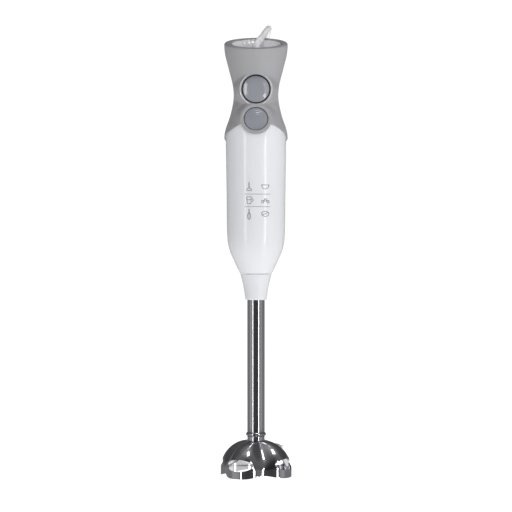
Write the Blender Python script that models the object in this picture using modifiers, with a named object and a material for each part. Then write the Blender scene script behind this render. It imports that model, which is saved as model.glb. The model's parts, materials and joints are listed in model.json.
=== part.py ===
"""Immersion blender: grip with speed dial and two buttons, motor housing, and a twist-off foot with a
lobed bell and a four-wing blade.

Dimensions are in millimetres and MM turns them into Blender's metres. +Z is up, the front (the buttons'
side) faces -Y, and the origin is at the middle of the bell's rim, which the blender stands on.
"""
import math

import bmesh
import bpy
from mathutils import Matrix, Vector

MM = 0.001
GAP = 0.3                    # between pieces that touch
RUN = 0.1                    # radial play of a shaft in its bush

# Foot
BELL_WALL = 1.2
BELL_EQUATOR = 8.0           # the wall is upright below this height
BELL_TOP = 32.8
BELL_NECK_R = 7.9
BELL_NECK_TOP = 36.5
LOBE_REACH = 26.4            # from the neck's radius to the lobe's
VALLEY_REACH = 21.1
LOBE_CURVE = 1.9             # superellipse exponents of lobe and valley
VALLEY_CURVE = 1.25
VALLEY_LIFT = 2.8            # how much higher the rim is in a valley
RIM_FLAT = 0.03              # share of the wave, at each lobe's middle, where the rim stays level
LOBE_AZIMUTH = 60.0          # first lobe, from +X, counter-clockwise
WINDOW_WIDTH = 27.0
WINDOW_HEIGHT = 10.6
WINDOW_Z = 12.0
TUBE_R = 8.0
TUBE_BORE = 7.2
TUBE_BOTTOM = 36.8
TUBE_TOP = 174.0
SHAFT_R = 2.5
BLADE_Z = 12.0
BLADE_R = 21.6

# Housing
SEAM_Z = 185.5
WALL = 2.2
SHELL_SIDES = 24             # facets round the housing, grip and collar
SHELL_TOP = 324.0
WAIST_Z = 346.0
TOP_Z = 397.9                # centre of the slanted top
TOP_TILT = 16.0
SPEED_Z = 353.7
SPEED_FACE_Y = -21.6
SPEED_R = 12.2
TURBO_Z = 326.4
TURBO_FACE_Y = -25.7
TURBO_TILT = 12.0
TURBO_R = 10.7
SPEED_BOSS_R = 14.6
TURBO_BOSS_R = 14.3
TRAVEL = 2.5                 # of both buttons
DIAL_R = 22.9

# Motor
STATOR_Z0 = 226.0
STATOR_Z1 = 258.0
STATOR_R = 23.0

# Cord
CORD_R = 2.6

for stale in list(bpy.data.objects):
    bpy.data.objects.remove(stale, do_unlink=True)

parts = bpy.data.collections.new("immersion_blender")
cutters = bpy.data.collections.new("cutters")
bpy.context.scene.collection.children.link(parts)
bpy.context.scene.collection.children.link(cutters)


def material(name, colour, roughness, metallic=0.0):
    made = bpy.data.materials.new(name)
    made.use_nodes = True
    shader = made.node_tree.nodes["Principled BSDF"]
    shader.inputs["Base Color"].default_value = (*colour, 1.0)
    shader.inputs["Roughness"].default_value = roughness
    shader.inputs["Metallic"].default_value = metallic
    return made


WHITE = material("white_plastic", (0.83, 0.84, 0.86), 0.25)
GRIP = material("grip_rubber", (0.30, 0.30, 0.32), 0.55)
BUTTON = material("button_plastic", (0.24, 0.25, 0.29), 0.25)
BLACK = material("black_rubber", (0.02, 0.02, 0.02), 0.6)
DARK = material("dark_plastic", (0.08, 0.08, 0.09), 0.45)
SILVER = material("silver_plastic", (0.45, 0.45, 0.48), 0.2, 0.6)
STEEL = material("polished_steel", (0.62, 0.62, 0.64), 0.12, 1.0)
LAMINATION = material("lamination_steel", (0.35, 0.36, 0.38), 0.45, 1.0)
COPPER = material("copper", (0.75, 0.38, 0.2), 0.35, 1.0)
BRASS = material("brass", (0.8, 0.62, 0.3), 0.3, 1.0)
BOARD = material("circuit_board", (0.05, 0.25, 0.1), 0.5)
CARBON = material("carbon", (0.03, 0.03, 0.03), 0.7)
CORD = material("cord_white", (0.85, 0.85, 0.86), 0.4)


# ---------------------------------------------------------------- helpers

def add(name, mesh, look=None, parent=None, location=(0, 0, 0), turn=(0, 0, 0)):
    """Links a mesh as a part, or as a hidden cutter when it has no material."""
    made = bpy.data.objects.new(name, mesh)
    made.location = Vector(location) * MM
    made.rotation_euler = [math.radians(angle) for angle in turn]
    made.parent = parent
    if look:
        mesh.materials.append(look)
        parts.objects.link(made)
    else:
        made.hide_render = True
        made.display_type = "WIRE"
        cutters.objects.link(made)
    return made


def smooth(points, steps=3):
    """Catmull-Rom curve through the points, in any number of dimensions."""
    pts = [Vector(p) for p in points]
    pts = [2 * pts[0] - pts[1]] + pts + [2 * pts[-1] - pts[-2]]
    line = []
    for a, b, c, d in zip(pts, pts[1:], pts[2:], pts[3:]):
        for i in range(steps):
            t = i / steps
            line.append(0.5 * (2 * b + t * (c - a) + t * t * (2 * a - 5 * b + 4 * c - d)
                               + t ** 3 * (3 * b - a - 3 * c + d)))
    line.append(pts[-2])
    return [tuple(p) for p in line]


def lathe(name, profile, look=None, segments=24, closed=True, **place):
    """Turns a profile of (radius, height) that runs down its outer side."""
    mesh = bpy.data.meshes.new(name)
    edges = [(i, i + 1) for i in range(len(profile) - 1)]
    if closed:
        edges.append((len(profile) - 1, 0))
    mesh.from_pydata([(r * MM, 0, z * MM) for r, z in profile], edges, [])
    made = add(name, mesh, look, **place)
    screw = made.modifiers.new("turn", "SCREW")
    screw.steps = segments
    screw.render_steps = segments
    screw.use_merge_vertices = True
    screw.merge_threshold = 0.00001
    return made


def ring(name, outer, inner, low, high, look=None, segments=24, **place):
    profile = [(outer, high), (outer, low), (inner, low), (inner, high)]
    return lathe(name, profile, look, segments, **place)


def rod(name, radius, low, high, look=None, segments=20, **place):
    profile = [(0, high), (radius, high), (radius, low), (0, low)]
    return lathe(name, profile, look, segments, closed=False, **place)


def block(name, size, centre, look=None, bevel=0.0, **place):
    mesh = bpy.data.meshes.new(name)
    cage = bmesh.new()
    bmesh.ops.create_cube(cage, size=1.0)
    bmesh.ops.scale(cage, vec=Vector(size) * MM, verts=cage.verts)
    bmesh.ops.translate(cage, vec=Vector(centre) * MM, verts=cage.verts)
    cage.to_mesh(mesh)
    cage.free()
    made = add(name, mesh, look, **place)
    if bevel:
        edge = made.modifiers.new("edge", "BEVEL")
        edge.width = bevel * MM
        edge.segments = 2
    return made


def combine(target, tool, operation):
    step = target.modifiers.new(operation.lower(), "BOOLEAN")
    step.operation = operation
    step.object = tool
    step.solver = "EXACT"
    return target


def cut(target, *tools):
    for tool in tools:
        combine(target, tool, "DIFFERENCE")
    return target


def join(target, *tools):
    for tool in tools:
        combine(target, tool, "UNION")
    return target


def wire(name, points, radius, look, sides=2, **place):
    """A round wire through the points."""
    curve = bpy.data.curves.new(name, "CURVE")
    curve.dimensions = "3D"
    curve.bevel_depth = radius * MM
    curve.bevel_resolution = sides
    curve.use_fill_caps = True
    line = curve.splines.new("POLY")
    line.points.add(len(points) - 1)
    for point, place_at in zip(line.points, points):
        point.co = (*(Vector(place_at) * MM), 1.0)
    curve.materials.append(look)
    made = bpy.data.objects.new(name, curve)
    parts.objects.link(made)
    return made


def outline_mesh(name, outline, thickness, holes=()):
    """A flat outline of (x, y) points, extruded to both sides of z = 0."""
    curve = bpy.data.curves.new(name, "CURVE")
    curve.dimensions = "2D"
    curve.fill_mode = "BOTH"
    curve.extrude = thickness / 2 * MM
    for loop in (outline, *holes):
        line = curve.splines.new("POLY")
        line.use_cyclic_u = True
        line.points.add(len(loop) - 1)
        for point, (x, y) in zip(line.points, loop):
            point.co = (x * MM, y * MM, 0.0, 1.0)
    guide = bpy.data.objects.new(name, curve)
    cutters.objects.link(guide)
    bpy.context.view_layer.update()
    mesh = bpy.data.meshes.new_from_object(guide.evaluated_get(bpy.context.evaluated_depsgraph_get()))
    bpy.data.objects.remove(guide)
    cage = bmesh.new()
    cage.from_mesh(mesh)
    bmesh.ops.remove_doubles(cage, verts=cage.verts, dist=0.00001)
    bmesh.ops.recalc_face_normals(cage, faces=cage.faces)
    cage.to_mesh(mesh)
    cage.free()
    mesh.name = name
    return mesh


def circle(radius, count, centre=(0, 0)):
    turn = 2 * math.pi / count
    return [(centre[0] + radius * math.cos(turn * i), centre[1] + radius * math.sin(turn * i))
            for i in range(count)]


def arc_plate(name, outer, inner, half_angle, middle, low, high, look=None, steps=4, **place):
    """A piece of a ring: half_angle to each side of the azimuth called middle."""
    def arc(radius, start, end):
        angles = [math.radians(start + (end - start) * i / steps) for i in range(steps + 1)]
        return [(radius * math.cos(a), radius * math.sin(a)) for a in angles]
    outline = arc(outer, middle - half_angle, middle + half_angle)
    outline += arc(inner, middle + half_angle, middle - half_angle)
    mesh = outline_mesh(name, outline, high - low)
    mesh.transform(Matrix.Translation((0, 0, (high + low) / 2 * MM)))
    return add(name, mesh, look, **place)


def axis_empty(name, location, tilt):
    """An empty whose local z axis is the vertical, leaned by tilt degrees towards -Y."""
    made = bpy.data.objects.new(name, None)
    made.location = Vector(location) * MM
    made.rotation_euler = (math.radians(tilt), 0, 0)
    parts.objects.link(made)
    return made


dial_axis = axis_empty("dial_axis", (0, 0, TOP_Z), TOP_TILT)
speed_axis = axis_empty("speed_axis", (0, SPEED_FACE_Y, SPEED_Z), 90)
turbo_axis = axis_empty("turbo_axis", (0, TURBO_FACE_Y, TURBO_Z), 90 - TURBO_TILT)


# ---------------------------------------------------------------- housing

BODY_OUTLINE = smooth([(28.1, SHELL_TOP), (27.1, 262.0), (26.6, 224.0), (24.7, 209.0), (19.6, 196.5),
                       (14.5, SEAM_Z + 0.15)], 2)
GRIP_OUTLINE = smooth([(29.0, TOP_Z + 16), (29.0, 391.5), (25.4, 375.0), (21.4, 359.0), (20.7, WAIST_Z),
                       (23.7, 331.0), (27.6, 319.7), (29.2, 311.0), (28.9, 300.0)], 1)


def shell_profile(outline, wall):
    """The outline and the same line moved in by the wall, as one closed loop."""
    return outline + [(r - wall, z) for r, z in reversed(outline)]


def wing_height(azimuth):
    """Height of the grip's lower edge, azimuth in degrees from the front."""
    bezel = 31.4
    turned = max(abs(azimuth) - bezel, 0.0) / (180.0 - bezel)
    return 321.7 - 19.0 * math.sin(math.radians(90.0 * turned))


def wing_cutter(name, above, gap):
    """A drum whose one end follows the grip's lower edge: above it or below it."""
    count = 72
    radius = 32.0
    middle = wing_height(90)
    far = 350.0 if above else 290.0
    mesh = bpy.data.meshes.new(name)
    drum = bmesh.new()
    bmesh.ops.create_cone(drum, cap_ends=True, cap_tris=True, segments=count, radius1=radius * MM,
                          radius2=radius * MM, depth=1.0)
    for vert in drum.verts:
        wavy = (vert.co.z < 0) if above else (vert.co.z > 0)
        reach = math.hypot(vert.co.x, vert.co.y) / MM
        height = far
        if wavy and reach > 1.0:
            edge = wing_height(math.degrees(math.atan2(vert.co.x, -vert.co.y)))
            height = middle + (edge - middle) * radius / 28.6 + gap
        elif wavy:
            height = middle + gap
        vert.co.z = height * MM
    drum.to_mesh(mesh)
    drum.free()
    return add(name, mesh)


def make_housing():
    shell = shell_profile(BODY_OUTLINE, WALL)
    shell[len(BODY_OUTLINE) - 1:len(BODY_OUTLINE) + 1] = [
        (14.5, SEAM_Z + 0.15), (9.4, SEAM_Z + 0.15), (9.4, SEAM_Z + 1.8), (12.6, SEAM_Z + 1.8)]
    body = lathe("housing_shell", shell, WHITE, SHELL_SIDES)
    sleeve = lathe("lap_sleeve", [(25.1, 316), (25.1, 302.5), (26.6, 299), (26.6, 291), (24.4, 291),
                                  (23.5, 299), (23.5, 316)], None, SHELL_SIDES)
    button_room = rod("turbo_clearance", TURBO_BOSS_R + GAP, -12.4, 4.3, None, 34, parent=turbo_axis)
    cut(body, wing_cutter("above_wing", True, -GAP / 2), button_room)
    cut(sleeve, button_room)
    join(body, sleeve)

    grip = lathe("grip_shell", shell_profile(GRIP_OUTLINE, WALL), GRIP, SHELL_SIDES)
    rim = ring("top_rim", 28.0, DIAL_R + 0.4, -3.2, 2.0, None, SHELL_SIDES, parent=dial_axis)
    lid = block("above_top", (90, 90, 60), (0, 0, 30), parent=dial_axis)
    cut(grip, wing_cutter("below_wing", False, GAP / 2))
    join(grip, rim)
    cut(grip, lid, rod("speed_hole", SPEED_BOSS_R - 0.6, -12, 9, None, 32, parent=speed_axis),
        rod("turbo_hole", TURBO_BOSS_R - 0.6, -12, 9, None, 32, parent=turbo_axis))
    join(grip, ring("speed_boss", SPEED_BOSS_R, 13.3, -8.2, 0.0, None, 36, parent=speed_axis),
         ring("turbo_boss", TURBO_BOSS_R, TURBO_R + 0.4, -6.4, 0.0, None, 30, parent=turbo_axis))

    lathe("coupling_socket", [(12.3, 190.5), (12.3, 187.7), (9.0, 187.7), (9.0, 177.0), (6.8, 177.0),
                              (6.8, 190.5)], DARK, 24)
    for side, angle in (("left", 180), ("right", 0)):
        lug = arc_plate("lug_" + side, 10.6, 8.4, 12, angle, 180.0, 182.5)
        join(bpy.data.objects["coupling_socket"], lug)


# ---------------------------------------------------------------- motor

def end_bracket(name, low, cup_top, radius):
    """A disc with a bearing cup on top and three air openings."""
    plate = lathe(name, [(8.4, cup_top), (8.4, low + 3), (radius, low + 3), (radius, low),
                         (4.0, low), (4.0, low + 0.8), (6.4, low + 0.8), (6.4, cup_top)], DARK, 24)
    for i in range(3):
        vent = arc_plate(f"{name}_vent_{i}", radius - 4.5, 11.0, 40, 30 + 120 * i, low - 2, low + 5)
        cut(plate, vent)
    return plate


def make_motor():
    bore, tip, coil_y = 13.6, 15.1, 10.2
    yoke = ring("stator_core", STATOR_R, 20.8, STATOR_Z0, STATOR_Z1, LAMINATION, 28)
    middle = (STATOR_Z0 + STATOR_Z1) / 2
    for side, sign in (("left", -1), ("right", 1)):
        angle = 0 if sign > 0 else 180
        shoe = arc_plate("pole_shoe_" + side, tip, bore, 50, angle, STATOR_Z0, STATOR_Z1)
        neck = block("pole_neck_" + side, (6.8, 10.0, STATOR_Z1 - STATOR_Z0), (sign * 18.0, 0, middle))
        join(yoke, shoe, neck)
        coil = block("field_coil_" + side, (2.4, 2 * coil_y, 40.0), (sign * 16.7, 0, middle), COPPER, 1.0)
        cut(coil, block("coil_window_" + side, (6, 11, STATOR_Z1 - STATOR_Z0 + 1), (sign * 16.7, 0, middle)))
        brush_z = 275.0
        holder = block("brush_holder_" + side, (11.5, 8, 8), (sign * 16.0, 0, brush_z), BRASS)
        cut(holder, block("brush_way_" + side, (20, 6, 6), (sign * 16.0, 0, brush_z)))
        block("carbon_brush_" + side, (8.0, 5.2, 5.2), (sign * 12.6, 0, brush_z), CARBON)
        coil_turns, per_turn = 4, 8
        spring = [(sign * (17.2 + 4.0 * i / (coil_turns * per_turn)),
                   1.9 * math.cos(2 * math.pi * i / per_turn),
                   brush_z + 1.9 * math.sin(2 * math.pi * i / per_turn))
                  for i in range(coil_turns * per_turn + 1)]
        wire("brush_spring_" + side, spring, 0.25, STEEL, 0)
        wire("motor_lead_" + side, smooth([(sign * 20.4, 5.0, 278), (sign * 17.6, 5.8, 283), (sign * 16.6, 6.4, 288),
                                           (sign * 13, 8.5, 297), (sign * 10, 8.2, 304)], 3),
             0.7, BLACK, 1)

    end_bracket("lower_bracket", 212.0, 218.6, 22.4)
    end_bracket("upper_bracket", 283.5, 291.0, 24.2)
    ring("lower_bearing", 6.1, SHAFT_R + 0.2, 213.2, 218.0, STEEL, 24)
    ring("upper_bearing", 6.1, SHAFT_R + 0.2, 284.7, 290.4, STEEL, 24)
    ring("motor_damper", 21.8, 19.2, 209.0, 211.7, BLACK, 24)

    rod("motor_shaft", SHAFT_R, 184.0, 293.0, STEEL)
    slots, root, crown = 10, 10.4, 13.2
    teeth = []
    for i in range(slots):
        for radius, part_turn in ((root, 0.0), (crown, 0.05), (crown, 0.4), (crown, 0.75), (root, 0.8)):
            angle = 2 * math.pi * (i + part_turn) / slots
            teeth.append((radius * math.cos(angle), radius * math.sin(angle)))
    core = outline_mesh("armature_core", teeth, STATOR_Z1 - STATOR_Z0, [circle(SHAFT_R + GAP, 24)])
    add("armature_core", core, LAMINATION, location=(0, 0, middle))
    lathe("winding_upper", [(6.0, 265.5), (10.5, 264.5), (12.2, 262), (12.2, 258.3), (SHAFT_R + GAP, 258.3),
                            (SHAFT_R + GAP, 265.5)], COPPER, 24)
    lathe("winding_lower", [(12.2, 225.7), (12.2, 222.5), (10.5, 219.8), (6.0, 219.1),
                            (SHAFT_R + GAP, 219.1), (SHAFT_R + GAP, 225.7)], COPPER, 24)
    ring("commutator", 8.0, SHAFT_R + GAP, 268.0, 281.0, COPPER, 24)
    fan = lathe("cooling_fan", [(6, 208), (17.0, 204.5), (17.0, 203), (6, 203), (SHAFT_R + GAP, 200.5),
                                (SHAFT_R + GAP, 208)], DARK, 24)
    for i in range(6):
        vane = block(f"vane_{i}", (11.0, 1.4, 5.0), (10.8, 0, 206.2), turn=(0, 0, 60 * i))
        join(fan, vane)
    coupler("drive_coupler", 183.4, 193.0, 179.4, 183.9, 90)


def coupler(name, hub_low, hub_high, lug_low, lug_high, middle):
    """Half of the dog clutch between motor and blade shaft: a hub with two lugs on its face."""
    hub = ring(name, 6.0, SHAFT_R + GAP, hub_low, hub_high, DARK, 20)
    for i in range(2):
        join(hub, arc_plate(f"{name}_lug_{i}", 5.8, 3.2, 26, middle + 180 * i, lug_low, lug_high))
    return hub


# ---------------------------------------------------------------- controls

def make_controls():
    lathe("speed_button", [(0, 1.6), (4.5, 1.5), (8.5, 1.0), (11.2, 0.2), (SPEED_R, -0.9), (SPEED_R, -4.5),
                           (3.0, -4.5), (3.0, -12.0), (0, -12.0)], BUTTON, 24, False, parent=speed_axis)
    ring("speed_button_seal", 13.0, SPEED_R + GAP, -3.0, -0.3, BLACK, 24, parent=speed_axis)
    lathe("turbo_button", [(0, 0.3), (TURBO_R - 1, 0.3), (TURBO_R, -0.5), (TURBO_R, -4.5), (3.0, -4.5),
                           (3.0, -15.0), (0, -15.0)], BUTTON, 24, False, parent=turbo_axis)
    board_y = 5.4
    for name, axis, stem in (("speed", speed_axis, 12.0), ("turbo", turbo_axis, 15.0)):
        rod(name + "_plunger", 1.4, -stem - 4.3, -stem - GAP, BUTTON, 12, parent=axis)
        case_top = -stem - TRAVEL - 0.6
        case = block(name + "_switch", (12.6, 6.6, 7.2), (0, 0, case_top - 3.6), DARK, parent=axis)
        cut(case, rod(name + "_well", 1.9, case_top - 5.6, case_top + 1, None, 12, parent=axis))
    block("control_board", (24.0, 1.6, 58.0), (0, board_y + 0.8, 331.0), BOARD)
    ring("emi_capacitor", 5.0, 1.0, -8.0, 8.0, SILVER, 20, location=(0, board_y + 7.4, 320))

    dish = [(DIAL_R, -0.6), (DIAL_R, -6.4), (7.6, -8.6), (7.6, -12.0), (5.8, -12.0), (5.8, -6.9),
            (12.0, -6.2), (18.5, -3.8), (21.4, -0.6)]
    lathe("speed_dial", dish, SILVER, 28, parent=dial_axis)
    block("dial_wiper", (4.0, 3.0, 2.2), (12.5, 0, -9.6), BRASS, parent=dial_axis)
    ring("dial_track_board", 16.4, 8.4, -13.4, -11.9, BOARD, 24, parent=dial_axis)
    ring("cord_gland", 5.2, 3.6, -30.0, -6.2, DARK, 24, parent=dial_axis)
    clamp = block("cord_clamp", (20, 10, 6), (0, 0, -34.0), DARK, parent=dial_axis)
    cut(clamp, rod("clamp_way", CORD_R + GAP, -40, -28, None, 16, parent=dial_axis))


# ---------------------------------------------------------------- foot

def make_bell():
    """A lobed dome: each lobe is a quarter ellipse, each valley a flatter curve."""
    rise = BELL_TOP - BELL_EQUATOR
    heights = [BELL_NECK_TOP, BELL_TOP] + [BELL_EQUATOR + rise * math.sin(math.radians(a))
                                           for a in (78, 62, 46, 29, 13)]
    heights += [BELL_EQUATOR, 4.0, 0.0]
    mesh = bpy.data.meshes.new("bell")
    cage = bmesh.new()
    count = 48
    rings = []
    for height in heights:
        loop = []
        for i in range(count):
            azimuth = 2 * math.pi * i / count
            swing = 4 * (azimuth - math.radians(LOBE_AZIMUTH - 90))
            valley = ((1 - math.cos(swing)) / 2) ** 1.6
            up = min(max((height - BELL_EQUATOR) / rise, 0.0), 1.0)
            curve = LOBE_CURVE + (VALLEY_CURVE - LOBE_CURVE) * valley
            reach = LOBE_REACH + (VALLEY_REACH - LOBE_REACH) * valley
            radius = BELL_NECK_R + reach * (1 - up ** curve) ** (1 / curve)
            lifted = height + VALLEY_LIFT * max(valley - RIM_FLAT, 0) * max(1 - height / BELL_EQUATOR, 0)
            loop.append(cage.verts.new((radius * math.cos(azimuth) * MM, radius * math.sin(azimuth) * MM,
                                        lifted * MM)))
        rings.append(loop)
    for upper, lower in zip(rings, rings[1:]):
        for i in range(count):
            j = (i + 1) % count
            cage.faces.new((upper[i], lower[i], lower[j], upper[j]))
    cage.to_mesh(mesh)
    cage.free()
    bell = add("bell", mesh, STEEL)
    skin = bell.modifiers.new("wall", "SOLIDIFY")
    skin.thickness = BELL_WALL * MM
    skin.offset = -1
    for i in range(4):
        window = rod(f"window_{i}", 1.0, 22, 42, None, 16, location=(0, 0, WINDOW_Z),
                     turn=(0, 90, LOBE_AZIMUTH - 90 + 90 * i))
        window.scale = (WINDOW_HEIGHT / 2, WINDOW_WIDTH / 2, 1)
        cut(bell, window)


def make_foot():
    make_bell()
    bore = TUBE_R + GAP
    collar = lathe("foot_collar", smooth([(14.3, SEAM_Z - 0.15), (13.4, 182.0), (11.9, 176.0), (10.5, 168.0),
                                          (9.9, 163.0)], 1) +
                   [(9.0, 161.7), (bore, 161.7), (bore, 176.2), (9.4, 176.2), (9.4, 179.5), (10.9, 179.5),
                    (10.9, 183.0), (9.4, 183.0), (9.4, SEAM_Z - 0.15)], WHITE, SHELL_SIDES)
    for i in range(2):
        cut(collar, arc_plate(f"lug_way_{i}", 10.9, 8.0, 14, -30 + 180 * i, 182.0, 188.0))
    lathe("foot_tube", [(TUBE_R, TUBE_TOP), (TUBE_R, 39.8), (8.9, 39.4), (9.2, 38.3), (8.9, 37.2),
                        (8.0, TUBE_BOTTOM), (TUBE_BORE, TUBE_BOTTOM), (TUBE_BORE, TUBE_TOP)], STEEL, 24)
    hole = SHAFT_R + RUN
    ring("upper_bush", TUBE_BORE - GAP, hole, 160.0, 171.5, SILVER, 24)
    ring("lower_bush", 6.3, hole, 26.0, 46.0, SILVER, 24)
    ring("shaft_seal", 6.9, hole, 22.0, 25.7, BLACK, 24)


def make_blade():
    rod("blade_shaft", SHAFT_R, 9.2, 178.6, STEEL)
    coupler("foot_coupler", 173.0, 179.0, 178.5, 183.0, 0)
    hub = ring("blade", 5.2, SHAFT_R + GAP, BLADE_Z - 1.1, BLADE_Z + 2.6, STEEL, 24)
    for i in range(4):
        outline = [(3.4, -3.6), (14.0, -4.4), (BLADE_R - 1.5, -2.0), (BLADE_R, 1.5), (13.0, 3.4), (3.4, 3.0)]
        mesh = outline_mesh(f"wing_{i}", outline, 1.2)
        pitch = 9.0 if i % 2 else -9.0
        wing = add(f"wing_{i}", mesh, location=(0, 0, BLADE_Z + 1.3), turn=(12, pitch, 90 * i))
        join(hub, wing)
    lathe("blade_cap", [(4.4, BLADE_Z - 1.4), (4.4, 9.0), (3.6, 8.2), (SHAFT_R + GAP, 8.2),
                        (SHAFT_R + GAP, BLADE_Z - 1.4)], STEEL, 24)


# ---------------------------------------------------------------- cord, lying behind the bell

SLEEVE = [(0, 1.3, 393.3), (0.3, 1.3, 396.4), (2.4, 4.4, 400.2), (5.2, 10.8, 404.2), (7.6, 18.0, 408.4),
          (9.8, 25.2, 412.4)]
DROP = [(10.0, 25.7, 412.7), (11.1, 30.4, 414.6), (11.9, 35.9, 415.8), (12.2, 41.7, 415.9),
        (11.9, 47.6, 414.6), (11.1, 53.1, 412.1), (10.0, 57.9, 408.4), (8.7, 61.8, 403.5), (7.3, 64.6, 397.4),
        (5.6, 66.7, 388.0), (3.3, 68.7, 370.0), (1.2, 70.8, 335.0), (0.2, 73.0, 285.0), (0, 75.4, 220.0),
        (0, 77.8, 160), (0, 80.5, 100), (0.1, 83, 58), (0.4, 86.4, 36), (1.0, 95.9, 23.6),
        (1.7, 107.9, 17.0), (2.5, 119, 15.2)]
TAIL = [(-14.2, 108.8, 4.1), (-12.2, 102.5, 5.0), (-10.6, 96.5, 6.2), (-10.0, 91.3, 6.9)]
HANK_X = 2.5
HANK_Y = 152.5               # middle of the hank
HANK_HALF = 46.5             # half its length
HANK_R = 23.6                # half its width
HANK_LOW = 0.95
HANK_HIGH = 11.6
TIE = 0.6                    # thickness of the cord tie
PLUG_X = -10.0
PLUG_FACE_Y = 55.0
PLUG_LENGTH = 35.0
PLUG_THICK = 13.7
PIN_R = 2.0
PIN_SPACING = 18.6
PIN_LENGTH = 18.7


def make_cord():
    sleeve = wire("strain_relief", smooth(SLEEVE, 2), 1.0, CORD)
    spline = sleeve.data.splines[0]
    count = len(spline.points)
    for i, point in enumerate(spline.points):
        point.radius = 3.2 + (2.45 - 3.2) * i / (count - 1)
    wire("cord_drop", smooth(DROP, 2), CORD_R, CORD)
    wire("cord_tail", smooth(TAIL, 2), CORD_R, CORD)

    run = HANK_HALF - HANK_R
    outline = []
    for side in (1, -1):
        for i in range(13):
            angle = math.pi * i / 12 if side > 0 else math.pi * (1 + i / 12)
            outline.append((HANK_R * math.cos(angle), side * run + HANK_R * math.sin(angle)))
    slab = outline_mesh("cord_hank", outline, HANK_HIGH - HANK_LOW)
    add("cord_hank", slab, CORD, location=(HANK_X, HANK_Y, (HANK_HIGH + HANK_LOW) / 2))
    room = GAP + TIE
    middle = (HANK_HIGH + HANK_LOW) / 2
    height = HANK_HIGH - HANK_LOW
    tie = block("cord_tie", (2 * (HANK_R + room), 6, height + 2 * room), (HANK_X, HANK_Y, middle), CORD)
    cut(tie, block("tie_way", (2 * (HANK_R + GAP), 8, height + 2 * GAP), (HANK_X, HANK_Y, middle)))

    half = 17.6
    shape = [(-half, 0), (half, 0), (half, 9), (12.0, 17), (6.5, 24), (4.2, PLUG_LENGTH),
             (-4.2, PLUG_LENGTH), (-6.5, 24), (-12.0, 17), (-half, 9)]
    plug = outline_mesh("plug_body", shape, PLUG_THICK)
    add("plug_body", plug, CORD, location=(PLUG_X, PLUG_FACE_Y, PLUG_THICK / 2 + 0.1))
    for side, sign in (("left", -1), ("right", 1)):
        rod("plug_pin_" + side, PIN_R, 0, PIN_LENGTH, STEEL, 16,
            location=(PLUG_X + sign * PIN_SPACING / 2, PLUG_FACE_Y - GAP, PLUG_THICK / 2), turn=(90, 0, 0))


make_housing()
make_motor()
make_controls()
make_foot()
make_blade()
make_cord()

for piece in parts.objects:
    if piece.type == "MESH":
        piece.data.shade_smooth()
        piece.data.set_sharp_from_angle(angle=math.radians(35))
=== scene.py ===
"""Looks of the immersion blender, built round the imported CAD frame.

The part's sizes are in millimetres, as in its source, and MM turns them into metres. The studio is in metres.
"""
import json
import math

import bmesh
import bpy
from mathutils import Matrix, Vector


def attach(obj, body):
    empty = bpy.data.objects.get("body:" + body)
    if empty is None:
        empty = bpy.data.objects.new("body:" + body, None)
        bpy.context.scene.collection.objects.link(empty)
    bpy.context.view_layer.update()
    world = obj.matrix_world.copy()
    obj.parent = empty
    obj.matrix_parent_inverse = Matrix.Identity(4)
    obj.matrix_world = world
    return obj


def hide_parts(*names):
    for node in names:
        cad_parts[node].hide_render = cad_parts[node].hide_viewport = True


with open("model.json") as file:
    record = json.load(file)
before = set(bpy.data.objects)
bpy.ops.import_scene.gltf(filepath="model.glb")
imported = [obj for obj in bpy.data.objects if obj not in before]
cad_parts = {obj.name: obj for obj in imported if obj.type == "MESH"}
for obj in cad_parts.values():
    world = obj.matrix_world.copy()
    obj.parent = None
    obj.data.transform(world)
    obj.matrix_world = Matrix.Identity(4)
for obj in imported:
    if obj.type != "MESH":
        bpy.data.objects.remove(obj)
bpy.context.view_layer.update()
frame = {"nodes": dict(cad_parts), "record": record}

MM = 0.001
NODES = frame["nodes"]

# Driving sizes, the same as in the part's source
SEAM_Z = 185.5
BODY_R = 28.1                # of the housing under the grip
WALL = 2.2
WAIST_Z = 346.0
TOP_Z = 397.9
TOP_TILT = 16.0
SPEED_Z = 353.7
SPEED_FACE_Y = -21.6
SPEED_R = 12.2
SPEED_BOSS_R = 14.6
SPEED_HOLE_R = 13.3
TURBO_Z = 326.4
TURBO_FACE_Y = -25.7
TURBO_TILT = 12.0
TURBO_R = 10.7
TURBO_BOSS_R = 14.3
TURBO_HOLE_R = 11.1
DIAL_R = 22.9
BELL_WALL = 1.2
BELL_EQUATOR = 8.0
BELL_TOP = 32.8
BELL_NECK_R = 7.9
BELL_NECK_TOP = 36.5
LOBE_REACH = 26.4
VALLEY_REACH = 21.1
LOBE_CURVE = 1.9
VALLEY_CURVE = 1.25
VALLEY_SHARPNESS = 1.6
VALLEY_LIFT = 2.8
RIM_FLAT = 0.03
LOBE_AZIMUTH = 60.0
WINDOW_WIDTH = 27.0
WINDOW_HEIGHT = 10.6
WINDOW_Z = 12.0
TUBE_R = 8.0
TUBE_BORE = 7.2
TUBE_BOTTOM = 36.8
TUBE_TOP = 174.0
CORD_R = 2.6


# ---------------------------------------------------------------- shapes

SHARP_EDGE = 40              # degrees between faces, from which an edge isn't smoothed over
AXIS_R = 0.0001              # stands for the axis until the points there are merged


def add(name, mesh, slot, body, nodes=(), matrix=None, look=None, sharp=SHARP_EDGE):
    """Links a finished mesh, rides it on its body and lets it stand for its CAD nodes.

    It looks as its material slot says, unless look names another material.
    """
    made = bpy.data.objects.new(name, mesh)
    bpy.context.scene.collection.objects.link(made)
    if matrix is not None:
        mesh.transform(matrix)
    mesh.materials.append(look or LOOKS[slot])
    mesh.shade_smooth()
    mesh.set_sharp_from_angle(angle=math.radians(sharp))
    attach(made, body)
    if nodes:
        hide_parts(*nodes)
    return made


def tilted(location, tilt):
    """Local z is the vertical leaned by tilt degrees towards -Y."""
    return Matrix.Translation(Vector(location) * MM) @ Matrix.Rotation(math.radians(tilt), 4, "X")


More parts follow.
